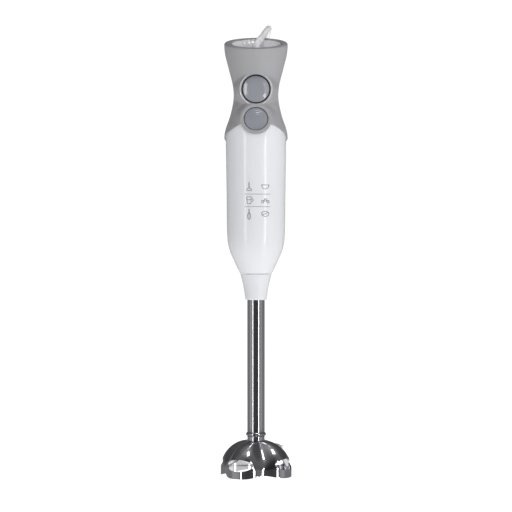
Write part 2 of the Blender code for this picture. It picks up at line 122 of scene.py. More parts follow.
DIAL_PLACE = tilted((0, 0, TOP_Z), TOP_TILT)
SPEED_PLACE = tilted((0, SPEED_FACE_Y, SPEED_Z), 90)
TURBO_PLACE = tilted((0, TURBO_FACE_Y, TURBO_Z), 90 - TURBO_TILT)


def smooth(points, steps):
    """Catmull-Rom curve through points of any dimension, with steps pieces between two of them."""
    pts = [Vector(p) for p in points]
    pts = [2 * pts[0] - pts[1]] + pts + [2 * pts[-1] - pts[-2]]
    line = []
    for a, b, c, d in zip(pts, pts[1:], pts[2:], pts[3:]):
        for i in range(steps):
            t = i / steps
            line.append(0.5 * (2 * b + t * (c - a) + t * t * (2 * a - 5 * b + 4 * c - d)
                               + t ** 3 * (3 * b - a - 3 * c + d)))
    line.append(pts[-2])
    return [tuple(p) for p in line]


def radius_at(line, height):
    """Radius of a (radius, height) line at a height."""
    for (r0, z0), (r1, z1) in zip(line, line[1:]):
        if min(z0, z1) <= height <= max(z0, z1) and z0 != z1:
            return r0 + (r1 - r0) * (height - z0) / (z1 - z0)
    nearest = min(line, key=lambda point: abs(point[1] - height))
    return nearest[0]


def grid_mesh(name, rows, close_rows=False):
    """A skin over rows of points in mm, each row a closed loop.

    close_rows joins the last row to the first.
    """
    mesh = bpy.data.meshes.new(name)
    cage = bmesh.new()
    made = [[cage.verts.new(Vector(p) * MM) for p in row] for row in rows]
    pairs = list(zip(made, made[1:]))
    if close_rows:
        pairs.append((made[-1], made[0]))
    for upper, lower in pairs:
        count = len(upper)
        for i in range(count):
            j = (i + 1) % count
            cage.faces.new((upper[i], lower[i], lower[j], upper[j]))
    bmesh.ops.recalc_face_normals(cage, faces=cage.faces)
    cage.to_mesh(mesh)
    cage.free()
    return mesh


def rounded(profile, radius, steps=3):
    """Rounds every corner of a closed (radius, height) profile that isn't nearly straight."""
    line = []
    count = len(profile)
    for i, corner in enumerate(profile):
        before = Vector(profile[i - 1]) - Vector(corner)
        after = Vector(profile[(i + 1) % count]) - Vector(corner)
        reach = min(radius, before.length * 0.45, after.length * 0.45)
        start = Vector(corner) + before.normalized() * reach
        end = Vector(corner) + after.normalized() * reach
        if before.angle(after, 0) > math.radians(160):
            line.append(tuple(corner))
            continue
        for k in range(steps + 1):
            t = k / steps
            line.append(tuple(start * (1 - t) ** 2 + Vector(corner) * 2 * t * (1 - t) + end * t * t))
    return line


def weld(mesh, reach=0.003):
    """Merges points closer than reach, in mm, such as the ones where a skin ends in a tip."""
    cage = bmesh.new()
    cage.from_mesh(mesh)
    bmesh.ops.remove_doubles(cage, verts=cage.verts, dist=reach * MM)
    bmesh.ops.recalc_face_normals(cage, faces=cage.faces)
    cage.to_mesh(mesh)
    cage.free()


def turned(name, profile, segments=96, closed=True, wave=None):
    """Turns a (radius, height) profile. Without closed, the profile starts and ends on the axis.

    wave gives what is added to the radius at (radius, height, angle).
    """
    angles = [2 * math.pi * i / segments for i in range(segments)]
    rows = []
    for r, z in profile:
        r = max(r, AXIS_R)
        row = []
        for a in angles:
            reach = r + (wave(r, z, a) if wave else 0)
            row.append((reach * math.cos(a), reach * math.sin(a), z))
        rows.append(row)
    mesh = grid_mesh(name, rows, close_rows=closed)
    if not closed:
        weld(mesh, 0.005)
    return mesh


def bake(made, kind, settings):
    """Adds a modifier of that type with those settings and applies it to the object's mesh."""
    step = made.modifiers.new(kind.lower(), kind)
    for key, value in settings.items():
        setattr(step, key, value)
    bpy.context.view_layer.update()
    depsgraph = bpy.context.evaluated_depsgraph_get()
    mesh = bpy.data.meshes.new_from_object(made.evaluated_get(depsgraph))
    made.modifiers.clear()
    made.data = mesh
    mesh.shade_smooth()
    mesh.set_sharp_from_angle(angle=math.radians(SHARP_EDGE))


def carve(made, mesh):
    """Cuts a cutter mesh out of the object."""
    cutter = bpy.data.objects.new("cutter", mesh)
    bpy.context.scene.collection.objects.link(cutter)
    bake(made, "BOOLEAN", {"operation": "DIFFERENCE", "object": cutter, "solver": "EXACT"})
    bpy.data.objects.remove(cutter)


# ---------------------------------------------------------------- materials

GLOSS_IOR = 1.5
TINT_SCALE = 45.0
WEAR_SCALE = 110.0
RELIEF_DEPTH = 0.0002


def material(name, colour, roughness, metallic=0.0, *, grain, bump, tint=0.05, wear=0.06,
             stretch=(1, 1, 1), coat=0.0, coat_roughness=0.1):
    """Colour variation, roughness variation and a fine bump, all from noise in object space.

    tint and wear are how far the colour and the roughness vary, grain is the bump's noise scale.
    """
    made = bpy.data.materials.new(name)
    made.use_nodes = True
    tree = made.node_tree
    shader = tree.nodes["Principled BSDF"]
    shader.inputs["Metallic"].default_value = metallic
    shader.inputs["IOR"].default_value = GLOSS_IOR
    shader.inputs["Coat Weight"].default_value = coat
    shader.inputs["Coat Roughness"].default_value = coat_roughness

    place = tree.nodes.new("ShaderNodeTexCoord")
    scale = tree.nodes.new("ShaderNodeMapping")
    scale.inputs["Scale"].default_value = stretch
    tree.links.new(place.outputs["Object"], scale.inputs["Vector"])

    def noise(size, detail):
        node = tree.nodes.new("ShaderNodeTexNoise")
        node.inputs["Scale"].default_value = size
        node.inputs["Detail"].default_value = detail
        tree.links.new(scale.outputs["Vector"], node.inputs["Vector"])
        return node.outputs["Fac"]

    shade = tree.nodes.new("ShaderNodeMix")
    shade.data_type = "RGBA"
    shade.inputs["A"].default_value = (*[c * (1 - tint) for c in colour], 1)
    shade.inputs["B"].default_value = (*[min(c * (1 + tint), 1) for c in colour], 1)
    tree.links.new(noise(TINT_SCALE, 3.0), shade.inputs["Factor"])
    tree.links.new(shade.outputs["Result"], shader.inputs["Base Color"])

    gloss = tree.nodes.new("ShaderNodeMapRange")
    gloss.inputs["To Min"].default_value = max(roughness - wear, 0.02)
    gloss.inputs["To Max"].default_value = roughness + wear
    tree.links.new(noise(WEAR_SCALE, 4.0), gloss.inputs["Value"])
    tree.links.new(gloss.outputs["Result"], shader.inputs["Roughness"])

    relief = tree.nodes.new("ShaderNodeBump")
    relief.inputs["Strength"].default_value = bump
    relief.inputs["Distance"].default_value = RELIEF_DEPTH
    tree.links.new(noise(grain, 2.0), relief.inputs["Height"])
    tree.links.new(relief.outputs["Normal"], shader.inputs["Normal"])
    return made


LOOKS = {
    "white_plastic": material("white_plastic", (0.76, 0.77, 0.79), 0.2, grain=420, bump=0.02, tint=0.012,
                              wear=0.03, coat=0.25),
    "grip_rubber": material("grip_rubber", (0.36, 0.36, 0.375), 0.50, grain=2400, bump=0.22, tint=0.03,
                            wear=0.05),
    "button_plastic": material("button_plastic", (0.29, 0.30, 0.335), 0.2, grain=600, bump=0.02, tint=0.03,
                               wear=0.04, coat=1.0, coat_roughness=0.06),
    "black_rubber": material("black_rubber", (0.008, 0.008, 0.008), 0.6, grain=1500, bump=0.15),
    "dark_plastic": material("dark_plastic", (0.06, 0.06, 0.065), 0.4, grain=900, bump=0.1),
    "silver_plastic": material("silver_plastic", (0.92, 0.92, 0.94), 0.16, 0.12, grain=800, bump=0.02,
                               tint=0.03, wear=0.03),
    "polished_steel": material("polished_steel", (0.58, 0.58, 0.60), 0.09, 1.0, grain=160, bump=0.004,
                               tint=0.03, wear=0.02, stretch=(1, 1, 0.15)),
    "lamination_steel": material("lamination_steel", (0.30, 0.31, 0.33), 0.45, 1.0, grain=900, bump=0.3,
                                 stretch=(0.05, 0.05, 3)),
    "copper": material("copper", (0.72, 0.33, 0.16), 0.3, 1.0, grain=1200, bump=0.3, stretch=(0.3, 0.3, 2)),
    "brass": material("brass", (0.78, 0.58, 0.26), 0.3, 1.0, grain=600, bump=0.05),
    "circuit_board": material("circuit_board", (0.03, 0.2, 0.08), 0.35, grain=900, bump=0.1, tint=0.15),
    "carbon": material("carbon", (0.03, 0.03, 0.03), 0.7, grain=1500, bump=0.3),
    "cord_white": material("cord_white", (0.90, 0.90, 0.91), 0.38, grain=900, bump=0.06, tint=0.02),
}
PRINT = material("print_ink", (0.10, 0.10, 0.11), 0.45, grain=1500, bump=0.02)
GROUND_STEEL = material("ground_steel", (0.66, 0.66, 0.68), 0.24, 1.0, grain=1800, bump=0.12,
                        stretch=(1, 8, 1))


# ---------------------------------------------------------------- camera and light

VIEW_HEIGHT = 0.202
VIEW_DISTANCE = 1.75
FRAME_WIDTH = 0.471          # of the picture, at the object
SENSOR = 36.0

# The room that the steel reflects: its brightness from below to above, times that from the camera's side to
# behind the object, as (share of the way, level)
ROOM_HEIGHT = ((0.0, 0.30), (0.46, 0.26), (0.55, 0.22), (0.68, 0.08), (0.90, 0.11), (1.0, 0.30))
ROOM_DEPTH = ((0.0, 0.25), (0.12, 0.4), (0.22, 1.5), (0.4, 1.7), (0.55, 1.0), (1.0, 0.9))
ROOM_TINT = 1.02             # of its blue
BACKDROP = 1.05              # brightness of the background that the camera sees


def area_light(name, azimuth, width, distance, power, height=1.3):
    """A light facing the object, azimuth in degrees from the camera's direction, positive to the right."""
    data = bpy.data.lights.new(name, "AREA")
    data.shape = "RECTANGLE"
    data.size = width
    data.size_y = height
    data.energy = power
    made = bpy.data.objects.new(name, data)
    angle = math.radians(azimuth)
    made.location = (distance * math.sin(angle), -distance * math.cos(angle), 0.3)
    made.rotation_euler = (math.radians(90), 0, angle)
    bpy.context.scene.collection.objects.link(made)
    return made


def make_camera():
    camera = bpy.data.objects.new("camera", bpy.data.cameras.new("camera"))
    camera.location = (0, -VIEW_DISTANCE, VIEW_HEIGHT)
    camera.rotation_euler = (math.radians(90), 0, 0)
    camera.data.sensor_width = SENSOR
    camera.data.lens = SENSOR * VIEW_DISTANCE / FRAME_WIDTH
    bpy.context.scene.collection.objects.link(camera)
    bpy.context.scene.camera = camera


def make_lights():
    """Two narrow strips that draw the long highlights, two soft lights, and a faint one under the bell."""
    area_light("strip_left", -42, width=0.10, distance=1.2, power=2.1)
    area_light("strip_right", 36, width=0.12, distance=1.2, power=2.9)
    soft = area_light("soft_front", 48, width=1.0, distance=1.9, power=8.0, height=1.4)
    soft.location.z = 0.9
    soft.rotation_euler.x = math.radians(70)
    soft.visible_glossy = False
    above = area_light("above", 20, width=0.4, distance=0.5, power=3.2, height=0.4)
    above.location.z = 1.4
    above.rotation_euler = (math.radians(25), 0, math.radians(20))
    under = area_light("under_bell", 0, width=0.05, distance=0.0, power=0.005, height=0.05)
    under.data.shape = "DISK"
    under.location = (0, 0, 0.0004)
    under.rotation_euler = (math.pi, 0, 0)


def make_room():
    """A white backdrop for the camera, and a graded grey room for everything that reflects."""
    world = bpy.data.worlds.new("studio")
    bpy.context.scene.world = world
    world.use_nodes = True
    tree = world.node_tree
    seen = tree.nodes["Background"]
    seen.inputs["Color"].default_value = (1, 1, 1, 1)
    seen.inputs["Strength"].default_value = BACKDROP
    place = tree.nodes.new("ShaderNodeTexCoord")
    split = tree.nodes.new("ShaderNodeSeparateXYZ")
    tree.links.new(place.outputs["Generated"], split.inputs["Vector"])

    def ramp(axis, stops):
        """Brightness along one axis of the direction: 0 at -1 and 1 at +1."""
        half = tree.nodes.new("ShaderNodeMapRange")
        half.inputs["From Min"].default_value = -1.0
        tree.links.new(split.outputs[axis], half.inputs["Value"])
        made = tree.nodes.new("ShaderNodeValToRGB")
        elements = made.color_ramp.elements
        for _ in stops[2:]:
            elements.new(0.5)
        for element, (position, level) in zip(elements, stops):
            element.position = position
            element.color = (level, level, level * ROOM_TINT, 1)
        tree.links.new(half.outputs["Result"], made.inputs["Fac"])
        return made.outputs["Color"]

    upright = ramp("Z", ROOM_HEIGHT)
    around = ramp("Y", ROOM_DEPTH)
    both = tree.nodes.new("ShaderNodeMix")
    both.data_type = "RGBA"
    both.blend_type = "MULTIPLY"
    both.inputs["Factor"].default_value = 1.0
    tree.links.new(upright, both.inputs["A"])
    tree.links.new(around, both.inputs["B"])
    room = tree.nodes.new("ShaderNodeBackground")
    tree.links.new(both.outputs["Result"], room.inputs["Color"])
    rays = tree.nodes.new("ShaderNodeLightPath")
    mix = tree.nodes.new("ShaderNodeMixShader")
    tree.links.new(rays.outputs["Is Camera Ray"], mix.inputs["Fac"])
    tree.links.new(room.outputs["Background"], mix.inputs[1])
    tree.links.new(seen.outputs["Background"], mix.inputs[2])
    tree.links.new(mix.outputs["Shader"], tree.nodes["World Output"].inputs["Surface"])


def make_floor():
    """A pale floor that glows enough to look white, and doesn't show in the steel."""
    floor_mesh = bpy.data.meshes.new("floor")
    cage = bmesh.new()
    bmesh.ops.create_grid(cage, x_segments=1, y_segments=1, size=3.0)
    cage.to_mesh(floor_mesh)
    cage.free()
    floor = bpy.data.objects.new("floor", floor_mesh)
    floor.location = (0, 0, -0.0005)
    bpy.context.scene.collection.objects.link(floor)
    pale = bpy.data.materials.new("pale_floor")
    pale.use_nodes = True
    shader = pale.node_tree.nodes["Principled BSDF"]
    shader.inputs["Base Color"].default_value = (0.9, 0.9, 0.9, 1)
    shader.inputs["Roughness"].default_value = 0.8
    shader.inputs["Emission Color"].default_value = (1, 1, 1, 1)
    shader.inputs["Emission Strength"].default_value = 0.9
    floor_mesh.materials.append(pale)
    floor.visible_glossy = False


make_camera()
make_lights()
make_room()
make_floor()
bpy.context.scene.view_settings.view_transform = "Standard"


# ---------------------------------------------------------------- cord

# Routes through (x, y, z) points: the sleeve in the dial, the stretch down to the hank, and the plug's end
SLEEVE = [(0, 1.3, 393.3), (0.3, 1.3, 396.4), (2.4, 4.4, 400.2), (5.2, 10.8, 404.2), (7.6, 18.0, 408.4),
          (9.8, 25.2, 412.4)]
DROP = [(10.0, 25.7, 412.7), (11.1, 30.4, 414.6), (11.9, 35.9, 415.8), (12.2, 41.7, 415.9),
        (11.9, 47.6, 414.6), (11.1, 53.1, 412.1), (10.0, 57.9, 408.4), (8.7, 61.8, 403.5), (7.3, 64.6, 397.4),
        (5.6, 66.7, 388.0), (3.3, 68.7, 370.0), (1.2, 70.8, 335.0), (0.2, 73.0, 285.0), (0, 75.4, 220.0),
        (0, 77.8, 160), (0, 80.5, 100), (0.1, 83, 58), (0.4, 86.4, 36), (1.0, 95.9, 23.6),
        (1.7, 107.9, 17.0), (2.5, 119, 15.2)]
TAIL = [(-18.0, 122, 3.55), (-16.2, 114.5, 3.6), (-13.6, 107, 4.3), (-11.3, 100, 5.6), (-10.2, 94.5, 6.6),
        (-10.0, 90.3, 6.95)]
HANK_X = 2.5
HANK_Y = 152.5
HANK_RUN = 46.5 - 23.6       # half a straight run: half the hank's length without its round end
HANK_LOW = 0.95
TURN_R = (15.75, 21.0)       # fold radii of the inner and outer turns
LAYER_Z = (HANK_LOW + CORD_R, HANK_LOW + CORD_R + 5.3)
HANK_STARTS, HANK_ENDS = 0.237, 3.75     # in turns
POINTS_PER_TURN = 28
PLUG_X = -10.0
PLUG_FACE_Y = 55.0
PLUG_Z = 6.95
PLUG_LENGTH = 35.0
PLUG_SQUARENESS = 0.45       # power of the plug's section: 1 is an oval, less is squarer
RIB_PITCH = 2.4
SLEEVE_R = (3.2, 2.72)       # at the root and at the tip


def ease(value, start, end):
    """0 before start, 1 after end, and smooth between them."""
    share = min(max((value - start) / (end - start), 0.0), 1.0)
    return share * share * (3 - 2 * share)


def racetrack(phase, radius):
    """A point of a folded loop: +X run, far fold, -X run and near fold, with a quarter of the phase each."""
    quarter = int(phase * 4) % 4
    share = phase * 4 - int(phase * 4)
    angle = math.pi * share
    if quarter == 0:
        return (HANK_X + radius, HANK_Y - HANK_RUN + 2 * HANK_RUN * share)
    if quarter == 1:
        return (HANK_X + radius * math.cos(angle), HANK_Y + HANK_RUN + radius * math.sin(angle))
    if quarter == 2:
        return (HANK_X - radius, HANK_Y + HANK_RUN - 2 * HANK_RUN * share)
    return (HANK_X - radius * math.cos(angle), HANK_Y - HANK_RUN - radius * math.sin(angle))


def hank_points():
    """Landing in the hollow, lower inner turn, upper inner, upper outer, lower outer, and out."""
    inner, outer = TURN_R
    low, high = LAYER_Z
    _, land_y, land_z = DROP[-1]
    joined = HANK_Y + HANK_RUN - 2.4
    line = []
    for i in range(1, 8):
        share = i / 8
        y = land_y + (joined - land_y) * share
        x = HANK_X + inner * ease(share, 0, 1)
        line.append((x, y, land_z + (low - land_z) * ease(y, land_y, land_y + 46)))
    count = int((HANK_ENDS - HANK_STARTS) * POINTS_PER_TURN)
    for i in range(count + 1):
        turn = HANK_STARTS + (HANK_ENDS - HANK_STARTS) * i / count
        radius = inner + (outer - inner) * ease(turn, 1.9375, 2.0625)
        rise = ease(turn, 1.0, 1.155) - ease(turn, 2.82, 3.0)
        line.append((*racetrack(turn % 1.0, radius), low + (high - low) * rise))
    return line


def make_cord():
    """The cord as one curve from the sleeve's tip to the plug."""
    curve = bpy.data.curves.new("power_cord", "CURVE")
    curve.dimensions = "3D"
    curve.bevel_depth = CORD_R * MM
    curve.bevel_resolution = 5
    curve.use_fill_caps = True
    points = smooth(DROP + hank_points() + TAIL, 3)
    line = curve.splines.new("POLY")
    line.points.add(len(points) - 1)
    for point, at in zip(line.points, points):
        point.co = (*(Vector(at) * MM), 1.0)
    curve.materials.append(LOOKS["cord_white"])
    cord = bpy.data.objects.new("power_cord", curve)
    bpy.context.scene.collection.objects.link(cord)
    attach(cord, "housing")
    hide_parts("cord_drop", "cord_hank", "cord_tail")
    pieces = [NODES["plug_pin_left"], NODES["plug_pin_right"], NODES["cord_tie"], make_sleeve(), make_plug()]


def make_sleeve():
    """Tapered strain relief, ribbed all but its root and its tip."""
    line = smooth(SLEEVE, 14)
    root, tip = SLEEVE_R
    rows = []
    sides = 32
    count = len(line)
    for i, at in enumerate(line):
        here = Vector(at)
        ahead = (Vector(line[min(i + 1, count - 1)]) - Vector(line[max(i - 1, 0)])).normalized()
        side = ahead.cross(Vector((0, 1, 0))).normalized()
        other = ahead.cross(side)
        share = i / (count - 1)
        radius = root + (tip - root) * share
        if 0.3 < share < 0.95:
            radius -= 0.22 * (0.5 + 0.5 * math.cos(math.pi * i))
        if i == 0:
            rows.append([tuple(here + ahead * 0.01)] * sides)
        rows.append([tuple(here + radius * (math.cos(2 * math.pi * k / sides) * side
                                            + math.sin(2 * math.pi * k / sides) * other))
                     for k in range(sides)])
        if i == count - 1:
            rows.append([tuple(here - ahead * 0.01)] * sides)
    mesh = grid_mesh("strain_relief_ribbed", rows)
    weld(mesh)
    return add("strain_relief_ribbed", mesh, "cord_white", "housing", ["strain_relief"])


def make_plug():
    """Flat two-pin plug: a loft of rounded sections along its length, with grip ribs on both faces."""
    sections = [(0.0, 16.9, 6.2), (0.7, 17.5, 6.75), (6.0, 17.6, 6.85), (10.0, 16.6, 6.85), (14.0, 13.8, 6.8),
                (18.0, 10.8, 6.6), (22.0, 8.0, 6.2), (26.0, 6.0, 5.4), (31.0, 4.9, 4.6), (34.2, 4.3, 4.0),
                (PLUG_LENGTH, 3.6, 3.4)]
    sides = 48
    rows = []
    for along, half_width, half_height in smooth(sections, 4):
        loop = []
        for k in range(sides):
            angle = 2 * math.pi * k / sides
            x = half_width * math.copysign(abs(math.cos(angle)) ** PLUG_SQUARENESS, math.cos(angle))
            z = half_height * math.copysign(abs(math.sin(angle)) ** PLUG_SQUARENESS, math.sin(angle))
            if 9.0 < along < 21.0 and abs(x) < half_width * 0.75:
                z -= math.copysign(0.35 * max(0.0, math.cos(2 * math.pi * along / RIB_PITCH)), z)
            loop.append((PLUG_X + x, PLUG_FACE_Y + along, PLUG_Z + z))
        rows.append(loop)
    first = [(PLUG_X, PLUG_FACE_Y, PLUG_Z)] * sides
    last = [(PLUG_X, PLUG_FACE_Y + PLUG_LENGTH, PLUG_Z)] * sides
    mesh = grid_mesh("plug_moulded", [first] + rows + [last])
    weld(mesh)
    return add("plug_moulded", mesh, "cord_white", "housing", ["plug_body"])


make_cord()


# ---------------------------------------------------------------- housing and grip

# Outlines as (radius, height)
BODY_LINE = smooth([(BODY_R, 324.0), (27.1, 262.0), (26.6, 224.0), (24.7, 209.0), (19.6, 196.5),
                    (14.5, SEAM_Z + 0.15)], 12)
GRIP_LINE = smooth([(29.0, TOP_Z + 16), (29.0, 391.5), (25.4, 375.0), (21.4, 359.0), (20.7, WAIST_Z),
                    (23.7, 331.0), (27.6, 319.7), (29.2, 311.0), (28.9, 300.0)], 12)
BEZEL_EDGE = 31.4            # azimuth where the grip's lower edge meets the turbo bezel
WING_TOP = 321.7             # height of the grip's lower edge there
WING_DROP = 19.0             # how much lower it is at the back
JOINT_GAP = 0.12             # half of the gap between housing and grip
GRIP_WALL = 1.9
BORE_R = 9.4                 # of the housing's lower end


def wing_height(azimuth):
    """Height of the grip's lower edge, azimuth in degrees from the front."""
    share = max(abs(azimuth) - BEZEL_EDGE, 0.0) / (180.0 - BEZEL_EDGE)
    return WING_TOP - WING_DROP * math.sin(math.radians(90.0 * share))


def bezel_arc(x, radius):
    """Lower edge of a disc of that radius round the turbo button, seen on the body's surface."""
    centre = TURBO_Z + 2.8 * math.tan(math.radians(TURBO_TILT))
    if abs(x) >= radius:
        return centre
    return centre - math.sqrt(radius ** 2 - x ** 2) / math.cos(math.radians(TURBO_TILT))


def azimuths():
    """Columns round the body, closer together where the bezel's edge is steep."""
    columns = [2.0 * i for i in range(-90, 90)]
    for i in range(16):
        extra = 27.1 + 0.3 * i
        if extra % 2.0:
            columns += [-extra, extra]
    return sorted(columns)


def column_point(azimuth, radius, height):
    angle = math.radians(azimuth)
    return (radius * math.sin(angle), -radius * math.cos(angle), height)


def joint_heights(columns, bezel, shift):
    """Height of the joint between housing and grip in each column: the wings, moved by shift, or the bezel."""
    heights = []
    for azimuth in columns:
        x = BODY_R * math.sin(math.radians(azimuth))
        height = wing_height(azimuth) + shift
        if abs(azimuth) < 40 and abs(x) < bezel:
            height = min(height, bezel_arc(x, bezel))
        heights.append(height)
    return heights


def make_body():
    """White housing: its upper edge follows the grip's wings and the turbo bezel."""
    columns = azimuths()
    edge = joint_heights(columns, TURBO_BOSS_R + 0.2, -JOINT_GAP)
    low = BODY_LINE[-1][1]
    steps = 70
    outer, inner = [], []
    for i in range(steps + 1):
        share = i / steps
        upper_edge = 0.35 * (1 - min(share * steps / 1.5, 1)) ** 2
        lower_edge = 0.5 * max(0.0, 1 - (1 - share) * steps / 1.2) ** 2
        outer.append([])
        inner.append([])
        for azimuth, top in zip(columns, edge):
            height = top + (low - top) * share
            radius = radius_at(BODY_LINE, height)
            outer[-1].append(column_point(azimuth, max(radius - (upper_edge + lower_edge), BORE_R), height))
            inner[-1].append(column_point(azimuth, max(radius - WALL, BORE_R), max(height, low + 1.8)))
    rows = outer + inner[::-1]
    mesh = grid_mesh("body_shell", rows, close_rows=True)
    add("body_shell", mesh, "white_plastic", "housing", ["housing_shell"])
    mesh = turned("body_floor", rounded([(13.4, SEAM_Z + 1.9), (14.3, SEAM_Z + 0.2), (BORE_R, SEAM_Z + 0.2),
                                         (BORE_R, SEAM_Z + 1.9)], 0.3))
    add("body_floor", mesh, "white_plastic", "housing")


def boss_front(x, z, place_z, face_y, tilt, radius):
    """How far a boss stands out to the front at (x, z): flat inside radius and sloping away round it."""
    lean = math.radians(tilt)
    rise = (z - place_z) / math.cos(lean)
    plane = -face_y - (z - place_z) * math.tan(lean)
    away = max(math.hypot(x, rise) - radius, 0.0)
    return plane - 1.1 * away - 0.16 * away * away


def soft_max(a, b, width):
    """The larger of the two, with a rounded valley between them."""
    gap = max(width - abs(a - b), 0.0) / width
    return max(a, b) + gap * gap * width * 0.25


def grip_point(azimuth, height):
    """A point of the waisted grip, with the two button bosses blended into its front."""
    radius = radius_at(GRIP_LINE, height)
    x, y, z = column_point(azimuth, radius, height)
    if abs(azimuth) > 80 or height > 384:
        return (x, y, z)
    front = -y
    speed = boss_front(x, z, SPEED_Z, SPEED_FACE_Y, 0, SPEED_BOSS_R)
    turbo = boss_front(x, z, TURBO_Z, TURBO_FACE_Y, TURBO_TILT, TURBO_BOSS_R)
    front = soft_max(front, speed, 2.6)
    front = soft_max(front, turbo, 2.0)
    return (x, -front, z)


def make_grip():
    """Grip skin from its wavy lower edge to the slanted rim and down into the dial's opening."""
    columns = azimuths()
    low = joint_heights(columns, TURBO_BOSS_R, JOINT_GAP)
    slope = math.tan(math.radians(TOP_TILT))
    steps = 130
    rows = []
    for i in range(steps + 1):
        share = i / steps
        row = []
        for azimuth, edge in zip(columns, low):
            top = TOP_Z - 1.1 - 29.0 * math.cos(math.radians(azimuth)) * slope
            row.append(grip_point(azimuth, edge + (top - edge) * share))
        rows.append(row)
    rim = [(28.9, -0.55), (28.45, -0.12), (27.8, 0.0), (24.6, 0.0), (23.75, -0.15), (DIAL_R + 0.45, -0.6),
           (DIAL_R + 0.4, -3.2)]
    stretch = 1 / math.cos(math.radians(TOP_TILT))
    for radius, height in rim:
        row = []
        for azimuth in columns:
            angle = math.radians(azimuth)
            oval = 1 + (stretch - 1) * max(0.0, (radius - 24.0) / 5.0)
            at = Vector((radius * math.sin(angle), -radius * oval * math.cos(angle), height)) * MM
            row.append(tuple((DIAL_PLACE @ at) / MM))
        rows.append(row)
    made = add("grip_skin", grid_mesh("grip_skin", rows), "grip_rubber", "housing", ["grip_shell"])
    bake(made, "SOLIDIFY", {"thickness": GRIP_WALL * MM, "offset": -1.0, "use_even_offset": False})
    turbo_width = TURBO_BOSS_R - TURBO_HOLE_R - 0.4
    for name, place, hole, width in (("speed_bezel", SPEED_PLACE, SPEED_HOLE_R, 1.1),
                                     ("turbo_bezel", TURBO_PLACE, TURBO_HOLE_R, turbo_width)):
        cutter = turned("hole", [(0, 9.0), (hole, 9.0), (hole, -11.0), (0, -11.0)], 128, closed=False)
        cutter.transform(place)
        carve(made, cutter)
        mesh = turned(name, rounded([(hole + width, 0.22), (hole + width + 0.15, -1.2), (hole, -5.5),
                                     (hole, 0.22)], 0.35, 4), 128)
        add(name, mesh, "grip_rubber", "housing", matrix=place)
    # A thin raised ring of light silver plastic round the upper button: a painted highlight, standing in for
    # the glossy shine on the grip's edge round the button.
    inner = SPEED_HOLE_R + 1.0
    outer = inner + 0.42
    section = rounded([(outer, 0.34), (outer, -0.8), (inner, -0.8), (inner, 0.34)], 0.14)
    mesh = turned("speed_lip_painted_highlight", section, 128)
    add("speed_lip_painted_highlight", mesh, "silver_plastic", "housing", matrix=SPEED_PLACE)


make_body()
make_grip()


# ---------------------------------------------------------------- controls

GROOVE_PITCH = 1.9           # of the rings on the turbo button
NOTCHES = 24                 # round the dial


def make_buttons():
    dome = smooth([(0.0, 1.75), (3.0, 1.72), (6.0, 1.55), (8.0, 1.2), (9.0, 0.85), (10.0, 0.46), (11.0, 0.06),
                   (11.8, -0.3), (12.0, -0.6)], 6)
    mesh = turned("speed_cap", [(0, dome[0][1])] + dome[1:] + [(SPEED_R, -1.0), (SPEED_R, -4.5), (3.0, -4.5),
                                                              (3.0, -12.0), (0, -12.0)], 128, closed=False)
    add("speed_cap", mesh, "button_plastic", "speed_button", ["speed_button"], SPEED_PLACE)
    mesh = turned("speed_seal", rounded([(13.25, -0.25), (13.25, -3.0), (SPEED_R + 0.1, -3.0),
                                         (SPEED_R + 0.1, -0.55)], 0.2), 128)
    add("speed_seal", mesh, "black_rubber", "housing", ["speed_button_seal"], SPEED_PLACE)
    crown = []
    for i in range(60):
        r = 10.0 * i / 60
        groove = 0.08 * math.cos(2 * math.pi * r / GROOVE_PITCH) if 2.4 < r < 8.4 else 0.0
        crown.append((r, 0.30 + groove - 0.006 * r * r))
    mesh = turned("turbo_cap", crown + [(10.3, -0.35), (10.62, -0.8), (TURBO_R, -1.4), (TURBO_R, -4.5),
                                        (3.0, -4.5), (3.0, -15.0), (0, -15.0)], 128, closed=False)
    add("turbo_cap", mesh, "button_plastic", "turbo_button", ["turbo_button"], TURBO_PLACE)


def make_dial():
    wall = smooth([(21.9, -0.9), (20.6, -2.6), (18.0, -4.4), (14.0, -5.6), (9.0, -6.1), (6.4, -6.2)], 6)

    def notches(r, z, angle):
        """Finger notches round the dial's inner lip."""
        if r < 17.5 or z < -5.2 or r > 21.95:
            return 0.0
        return -0.55 * max(0.0, math.cos(NOTCHES * angle)) ** 2

    profile = [(DIAL_R, -1.1), (DIAL_R, -6.4), (7.6, -8.6), (7.6, -12.0), (5.9, -12.0), (5.9, -6.4)]
    profile += wall[::-1] + [(22.2, -0.55), (22.7, -0.7)]
    mesh = turned("dial_dish", profile, 192, wave=notches)
    add("dial_dish", mesh, "silver_plastic", "speed_dial", ["speed_dial"], DIAL_PLACE)
    mesh = turned("gland_collar", rounded([(5.3, -5.0), (5.6, -6.5), (5.2, -9), (3.7, -9), (3.7, -4.4),
                                           (4.6, -4.2)], 0.3), 64)
    add("gland_collar", mesh, "cord_white", "housing", matrix=DIAL_PLACE)


make_buttons()
make_dial()


# ---------------------------------------------------------------- foot

BEAD_TOP = 40.4              # of the bead at the tube's lower end
BLADE_Z = 12.0
BLADE_TIP = 21.5
WING_ROOT = 3.6
WING_PITCH = 9.0             # degrees, up and down in turn
WING_LEAN = 12.0


def bell_point(height, azimuth):
    """A point of the lobed dome: each lobe is a quarter ellipse, each valley a flatter curve."""
    swing = 4 * (azimuth - math.radians(LOBE_AZIMUTH - 90))
    valley = ((1 - math.cos(swing)) / 2) ** VALLEY_SHARPNESS
    rise = BELL_TOP - BELL_EQUATOR
    up = min(max((height - BELL_EQUATOR) / rise, 0.0), 1.0)
    curve = LOBE_CURVE + (VALLEY_CURVE - LOBE_CURVE) * valley
    reach = LOBE_REACH + (VALLEY_REACH - LOBE_REACH) * valley
    radius = BELL_NECK_R + reach * (1 - up ** curve) ** (1 / curve)
    lifted = height + VALLEY_LIFT * max(valley - RIM_FLAT, 0) * max(1 - height / BELL_EQUATOR, 0)
    return (radius * math.cos(azimuth), radius * math.sin(azimuth), lifted)


